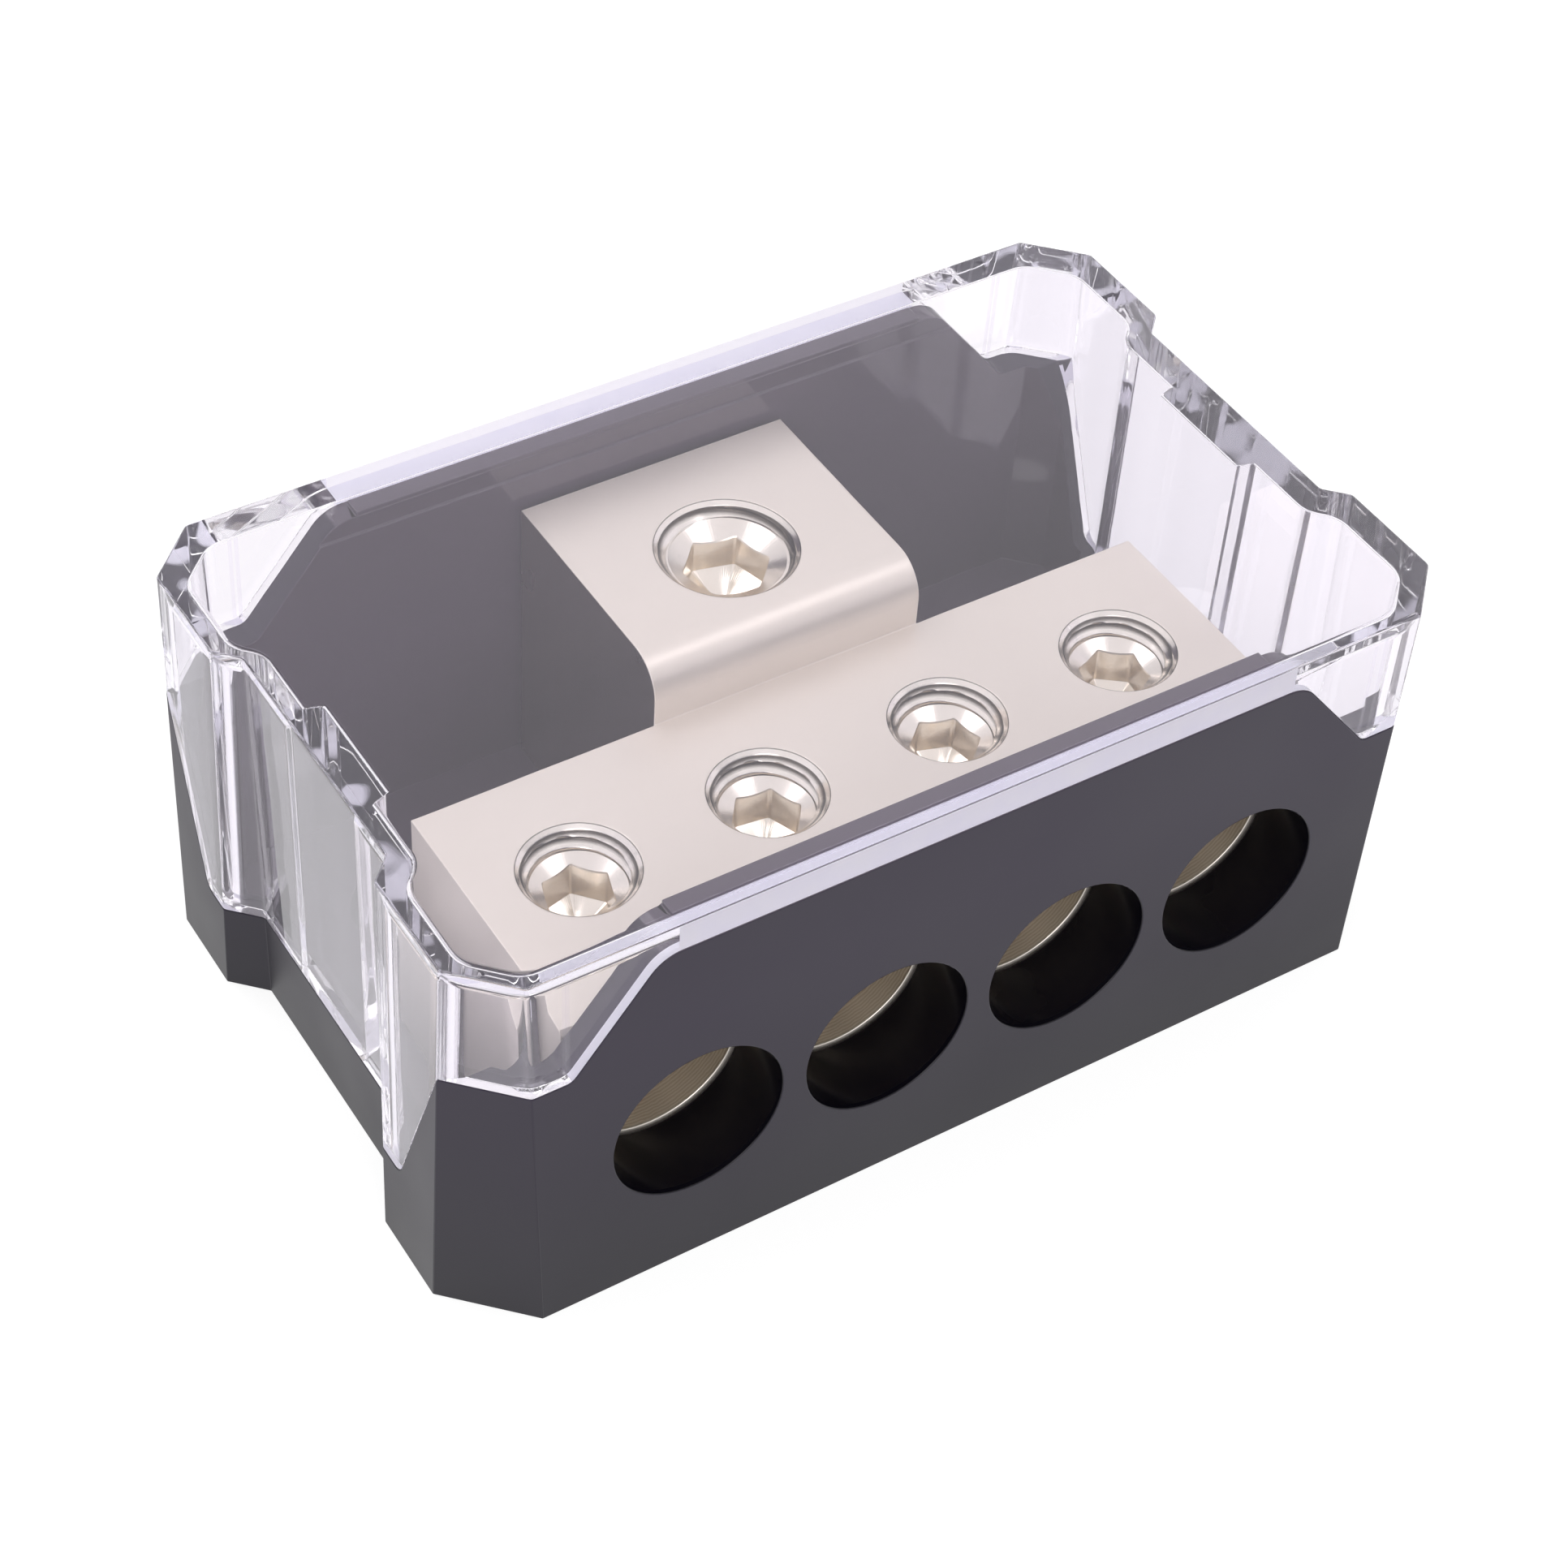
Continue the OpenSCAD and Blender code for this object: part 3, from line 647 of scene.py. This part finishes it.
baseShell = mergedCopy("base_shell", "base_housing")
points = pointData(baseShell)
for x, side, radius in entries:      # the entries' rims, crisper than the plain cones of the CAD shape
    across, up = points[:, 0] - x, points[:, 2] - base["boreHeight"]
    away = np.hypot(across, up)
    onFace = np.abs(points[:, 1] * side - housing["width"] / 2 + points[:, 2] * lean) < base["onFace"]
    flared = onFace & (away > radius + base["rim"]) & (away < radius + base["flare"])
    points[flared, 0] = x + across[flared] * (radius + base["rim"]) / away[flared]
    points[flared, 2] = base["boreHeight"] + up[flared] * (radius + base["rim"]) / away[flared]
    points[flared, 1] = side * (housing["width"] / 2 - points[flared, 2] * lean)
placePoints(baseShell, points)
flatFacesFirst(breakEdges(smoothBut(baseShell, edgeAngle), base["edge"]))
baseSlots = (satinPlastic, litRoomPlastic, shadedTubePlastic)
centres, normals = faceData(baseShell)
# painted shade: faces inside the entry tubes take the plastic painted darker
tube = inTubes(centres, base["tubeFrom"], base["tubeReach"]) & (np.abs(normals[:, 1]) < base["tubeTilt"])
# painted light: the room's inner faces take the plastic painted lighter
inside = (np.abs(centres[:, 0]) < base["roomX"]) & (np.abs(centres[:, 1]) < base["roomY"])
inside &= centres[:, 2] > base["roomFoot"]
inside |= (centres[:, 2] > base["lipFoot"]) & (np.abs(centres[:, 1]) < base["lipY"])
slots = np.where(inside, baseSlots.index(litRoomPlastic), baseSlots.index(satinPlastic))
giveMaterials(baseShell, baseSlots, np.where(tube, baseSlots.index(shadedTubePlastic), slots))
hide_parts("base_housing")
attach(baseShell, "base")
print("base made:", len(baseShell.data.polygons), "faces")


# metal block

block = {"edge": 0.06, "barTop": 21.9, "outBoreTop": 17.6, "inBoreTop": 19.1, "faces": {-1: -19.0, 1: 20.4},
         "mouths": {-1: 5.8, 1: 7.3}, "edgeDeep": 0.2, "rimOut": 0.66, "boreOut": 0.58, "near": 0.05,
         "onFace": 0.01, "hubHalf": 11.2, "hubFrom": 1, "facing": 0.9}

blockShell = mergedCopy("block_body", "terminal_block")
points = pointData(blockShell)
for x, side, radius in entries:      # the mouths, opened out a little more at their front
    across, up = points[:, 0] - x, points[:, 2] - base["boreHeight"]
    away = np.hypot(across, up)
    depth = np.abs(points[:, 1] - block["faces"][side])
    near = (depth < block["edgeDeep"] + block["onFace"]) & (away > block["mouths"][side] - block["near"])
    near &= away < block["mouths"][side] + block["edgeDeep"] + block["near"]
    onFace = depth[near] < block["onFace"]
    wanted = block["mouths"][side] + np.where(onFace, block["rimOut"], block["boreOut"])
    points[near, 0] = x + across[near] * wanted / away[near]
    points[near, 2] = base["boreHeight"] + up[near] * wanted / away[near]
placePoints(blockShell, points)
flatFacesFirst(breakEdges(smoothBut(blockShell, edgeAngle), block["edge"]))
blockSlots = (blockNickel, shadedBoreMetal, shadedSideNickel)
centres, normals = faceData(blockShell)
# painted shade: faces inside the bores take the darker metal
bored = inTubes(centres, {-1: 0, 1: 0}) & (centres[:, 1] > block["faces"][-1] + block["near"])
bored &= centres[:, 1] < block["faces"][1] - block["near"]
# painted shade: the hub's upright sides take the darker nickel
shadedHubSide = (np.abs(centres[:, 0]) < block["hubHalf"]) & (centres[:, 1] > block["hubFrom"])
shadedHubSide &= np.abs(normals[:, 0]) > block["facing"]
slots = np.where(shadedHubSide, blockSlots.index(shadedSideNickel), blockSlots.index(blockNickel))
giveMaterials(blockShell, blockSlots, np.where(bored, blockSlots.index(shadedBoreMetal), slots))
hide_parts("terminal_block")
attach(blockShell, "base")


# threads: the screws and the tapped holes share one helix, so whole turns of travel keep them apart

outThread = {"pitch": 1.25, "crest": 3.9, "root": 3.36, "rootFlat": 0.14, "crestFlat": 0.12}
inThread = {"pitch": 1.5, "crest": 4.9, "root": 4.26, "rootFlat": 0.14, "crestFlat": 0.12}
holes = {"around": 96, "perPitch": 20, "gap": 0.1, "play": 0.09, "edge": 0.4, "buried": 0.04, "proud": 0.02,
         "coneGroove": (0.2, 0, 0, 0, 0.5, 0.9), "smoothWithin": 50}


def threadRadius(theta, z, thread):
    # root + (crest - root) times a flattened triangle wave of z / pitch - theta / turn: a right-hand thread
    phase = (z / thread["pitch"] - theta / (2 * np.pi)) % 1.0
    wave = np.abs(2 * phase - 1)
    flats = thread["rootFlat"] + thread["crestFlat"]
    rise = np.clip((1 - thread["rootFlat"] - wave) / (1 - flats), 0, 1)
    return thread["root"] + (thread["crest"] - thread["root"]) * rise


def setGroove(piece, depth):
    # 0 on the ridges of a thread and 1 in its grooves, the share of painted groove shade in the material
    grooveShade = piece.data.attributes.new("grooveShade", "FLOAT", "POINT")
    values = np.zeros(len(piece.data.vertices))
    values[:depth.size] = np.clip(depth, 0, 1).ravel()
    grooveShade.data.foreach_set("value", values)


def tappedHole(name, node, bottom, top, thread):
    # from the bottom up: the screw's thread radius plus the play, no less than the cones of the hole's ends
    # and no more than its wall; then the upper cone, darkened along its top edge with the groove colour, and
    # back down inside the metal
    low, high = boxOf(node)
    place = (low[:2] + high[:2]) / 2
    wallRadius = (high[0] - low[0]) / 2 + holes["gap"]
    rows = int(round((top - holes["edge"] - bottom) / thread["pitch"] * holes["perPitch"])) + 1
    theta = np.linspace(0, 2 * np.pi, holes["around"], endpoint=False)[None, :]
    z = np.linspace(bottom, top - holes["edge"], rows)[:, None] + 0 * theta
    cone = wallRadius - (top - holes["edge"] - z)
    runIn = wallRadius - (z - bottom)
    inner = np.maximum(np.maximum(threadRadius(theta, z, thread) + holes["play"], cone), runIn)
    inner = np.minimum(inner, wallRadius)
    coneRows = len(holes["coneGroove"])
    rise = np.linspace(0, holes["edge"] - holes["proud"], coneRows + 1)[1:, None] + 0 * theta
    inner = np.concatenate([inner, wallRadius + rise - holes["proud"]])
    z = np.concatenate([z, top - holes["edge"] + rise])
    radius = np.concatenate([inner, inner[::-1] + holes["buried"]])
    radius[-rows:] = wallRadius + holes["buried"]
    height = np.concatenate([z, z[::-1]])
    height[len(z):len(z) + coneRows] -= holes["buried"] / 2
    depth = (radius - holes["play"] - thread["root"]) / (thread["crest"] - thread["root"])
    depth[rows:rows + coneRows] = np.array(holes["coneGroove"])[:, None]
    points = np.stack([place[0] + radius * np.cos(theta), place[1] + radius * np.sin(theta), height], -1)
    faces = ringFaces(*radius.shape, closed=True)
    piece = meshFrom(name, points.reshape(-1, 3), [f[::-1] for f in faces])
    setGroove(piece, depth)
    piece.data.materials.append(threadNickel)
    smoothBut(piece, holes["smoothWithin"])
    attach(piece, "base")


screws = {"around": 96, "perPitch": 20, "rimEdge": 0.3, "rimLand": 0.2, "tipBevel": 1.0, "dishSlope": 0.62,
          "socketShare": 0.67, "socketDepth": 3.4, "socketCorner": 0.985, "socketEdge": 0.07,
          "drillShare": 0.6, "drillSlope": 0.5}


def setScrew(name, node, thread, turn):
    # rings from the tip up the threaded side, over the rim, down the dish and the socket to its drilled end;
    # the hex's radius is its flat's distance over the cosine of the angle from that flat's middle
    low, high = boxOf(node)
    x, y = (low[:2] + high[:2]) / 2
    half = (high[0] - low[0]) / 2
    theta = np.linspace(0, 2 * np.pi, screws["around"], endpoint=False)[None, :]
    rows = int(round((high[2] - low[2]) / thread["pitch"] * screws["perPitch"])) + 1
    z = np.linspace(low[2], high[2], rows)[:, None] + 0 * theta
    side = np.minimum(threadRadius(theta, z, thread), half - screws["tipBevel"] + z - low[2])
    side = np.minimum(side, half - screws["rimEdge"] + high[2] - z)
    corner = half * screws["socketShare"]
    flat = corner * math.cos(math.pi / 6)
    sector = (theta - math.radians(turn)) % (np.pi / 3) - np.pi / 6
    hexed = np.minimum(flat / np.cos(sector), corner * screws["socketCorner"])
    land = half - screws["rimEdge"] - screws["rimLand"]
    dish = high[2] - (land - hexed) * screws["dishSlope"]
    bottom = high[2] - screws["socketDepth"]
    edge = screws["socketEdge"]
    drill = screws["drillShare"]
    radius = np.concatenate([side, land + 0 * theta, hexed + edge, hexed, hexed, hexed * drill])
    height = np.concatenate([z, high[2] + 0 * theta, dish + edge * screws["dishSlope"], dish - edge,
                             bottom + 0 * theta, bottom - hexed * (1 - drill) * screws["drillSlope"]])
    points = np.stack([x + radius * np.cos(theta), y + radius * np.sin(theta), height], -1)
    endPole = [x, y, bottom - flat * screws["drillSlope"]]
    piece = poledSurface(name, points, [x, y, low[2]], endPole)
    onThread = (side > half - screws["tipBevel"]) & (z > low[2] + screws["tipBevel"])
    onThread &= z < high[2] - screws["rimEdge"]
    setGroove(piece, onThread * (thread["crest"] - side) / (thread["crest"] - thread["root"]))
    centres = faceData(piece)[0]
    socket = (np.hypot(centres[:, 0] - x, centres[:, 1] - y) < corner) & (centres[:, 2] > bottom - half)
    giveMaterials(piece, (screwNickel, socketNickel), socket)
    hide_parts(node)
    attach(piece, node)


hubTop = boxOf("terminal_block")[1][2]
hexTurns = {"outputs": (13, 52.5, 41, 22), "input": 46}      # degrees
for number, hexTurn in enumerate(hexTurns["outputs"], start=1):
    screwNode = f"output_screw_{number}"
    setScrew(f"set_screw_{number}", screwNode, outThread, hexTurn)
    tappedHole(f"output_thread_{number}", screwNode, block["outBoreTop"], block["barTop"], outThread)
setScrew("set_screw_input", "input_screw", inThread, hexTurns["input"])
tappedHole("input_thread", "input_screw", block["inBoreTop"], hubTop, inThread)
for side in ("left", "right"):
    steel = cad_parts[f"block_screw_{side}"]
    steel.data.materials.clear()
    steel.data.materials.append(fixingSteel)
print("block, screws and threads made")


# floor, backdrop and lamps

stage = {"floorHalf": 3.0, "floorDrop": 0.02, "floorTone": 0.36, "floorGlow": 0.77, "floorRoughness": 0.9,
         "skyLight": 0.78, "skyTone": 1.0, "lightPaths": 32}
lamps = {"aim": (0, 0, 0.01),      # metres and watts
         "rearLamp": {"place": (-0.25, 0.35, 0.75), "size": (0.5, 0.4), "power": 1.2},
         "frontLamp": {"place": (0.35, -0.28, 0.75), "size": (0.4, 0.3), "power": 0.6},
         "sideLamp": {"place": (-0.32, -0.62, 0.34), "size": (0.5, 0.35), "power": 1.3}}


def seenDirectly(nodes, links):
    # 1 for rays from the camera, and for those that metal and clear plastic send on
    path = nodes.new("ShaderNodeLightPath")
    first = nodes.new("ShaderNodeMath")
    first.operation = "MAXIMUM"
    second = nodes.new("ShaderNodeMath")
    second.operation = "MAXIMUM"
    links.new(path.outputs["Is Camera Ray"], first.inputs[0])
    links.new(path.outputs["Is Glossy Ray"], first.inputs[1])
    links.new(first.outputs["Value"], second.inputs[0])
    links.new(path.outputs["Is Transmission Ray"], second.inputs[1])
    return second.outputs["Value"]


def paleFloor():
    # a floor that looks white from the camera and throws little light back at the part
    half = stage["floorHalf"]
    corners = np.array([[-half, -half, 0], [half, -half, 0], [half, half, 0], [-half, half, 0]]) / mm
    corners[:, 2] = -stage["floorDrop"]
    floor = meshFrom("floor", corners, [[0, 1, 2, 3]])
    material, nodes, links, shader = newMaterial("paleFloor")
    tone = stage["floorTone"]
    shader.inputs["Base Color"].default_value = (tone, tone, tone, 1)
    shader.inputs["Roughness"].default_value = stage["floorRoughness"]
    shader.inputs["Specular IOR Level"].default_value = 0.0
    shader.inputs["Emission Color"].default_value = (1, 1, 1, 1)
    glow = nodes.new("ShaderNodeMath")
    glow.operation = "MULTIPLY"
    glow.inputs[1].default_value = stage["floorGlow"]
    links.new(seenDirectly(nodes, links), glow.inputs[0])
    links.new(glow.outputs["Value"], shader.inputs["Emission Strength"])
    floor.data.materials.append(material)


def studioWorld():
    # a white sky, whose own light is skyLight and whose look is skyTone
    world = bpy.data.worlds.new("studio")
    world.use_nodes = True
    nodes, links = world.node_tree.nodes, world.node_tree.links
    sky = nodes["Background"]
    sky.inputs["Color"].default_value = (1, 1, 1, 1)
    seen = seenDirectly(nodes, links)
    strength = nodes.new("ShaderNodeMapRange")
    strength.inputs["To Min"].default_value = stage["skyLight"]
    strength.inputs["To Max"].default_value = stage["skyTone"]
    links.new(seen, strength.inputs["Value"])
    links.new(strength.outputs["Result"], sky.inputs["Strength"])
    bpy.context.scene.world = world


def softLamp(name):
    # a rectangular lamp that looks from its place at the aim
    lamp = bpy.data.lights.new(name, "AREA")
    lamp.energy = lamps[name]["power"]
    lamp.shape = "RECTANGLE"
    lamp.size, lamp.size_y = lamps[name]["size"]
    holder = bpy.data.objects.new(name, lamp)
    place = lamps[name]["place"]
    back = np.array(place) - np.array(lamps["aim"])
    back = back / np.linalg.norm(back)
    side = np.cross((0, 0, 1), back)
    side = side / np.linalg.norm(side)
    up = np.cross(back, side)
    holder.matrix_world = Matrix([[side[i], up[i], back[i], place[i]] for i in range(3)] + [[0, 0, 0, 1]])
    bpy.context.scene.collection.objects.link(holder)


paleFloor()
studioWorld()
for lampName in ("rearLamp", "frontLamp", "sideLamp"):
    softLamp(lampName)
rays = bpy.context.scene.cycles
rays.max_bounces = stage["lightPaths"]      # light runs far along inside the clear cover
rays.glossy_bounces = stage["lightPaths"]
rays.transmission_bounces = stage["lightPaths"]
print("stage set")


# camera, at the photograph's place

shot = {"place": (-100.18, -143.39, 187.98), "azimuth": 34.862, "elevation": 45.11, "roll": 4.232,
        "lens": 77.11, "sensor": 36, "nearest": 0.01, "farthest": 20}      # the last two in metres


def photoCamera():
    # looks along the azimuth, down by the elevation, and is then rolled about that line
    azimuth, elevation, roll = (math.radians(shot[k]) for k in ("azimuth", "elevation", "roll"))
    ahead = np.array([math.sin(azimuth) * math.cos(elevation), math.cos(azimuth) * math.cos(elevation),
                      -math.sin(elevation)])
    level = np.array([math.cos(azimuth), -math.sin(azimuth), 0])
    upright = np.cross(level, ahead)
    right = level * math.cos(roll) + upright * math.sin(roll)
    up = upright * math.cos(roll) - level * math.sin(roll)
    lens = bpy.data.cameras.new("photoCamera")
    lens.lens = shot["lens"]
    lens.sensor_width = shot["sensor"]
    lens.clip_start, lens.clip_end = shot["nearest"], shot["farthest"]
    camera = bpy.data.objects.new("photoCamera", lens)
    place = np.array(shot["place"]) * mm
    camera.matrix_world = Matrix([[right[i], up[i], -ahead[i], place[i]] for i in range(3)] + [[0, 0, 0, 1]])
    bpy.context.scene.collection.objects.link(camera)
    bpy.context.scene.camera = camera


photoCamera()
bpy.context.scene.view_settings.view_transform = "Standard"

bpy.context.view_layer.update()
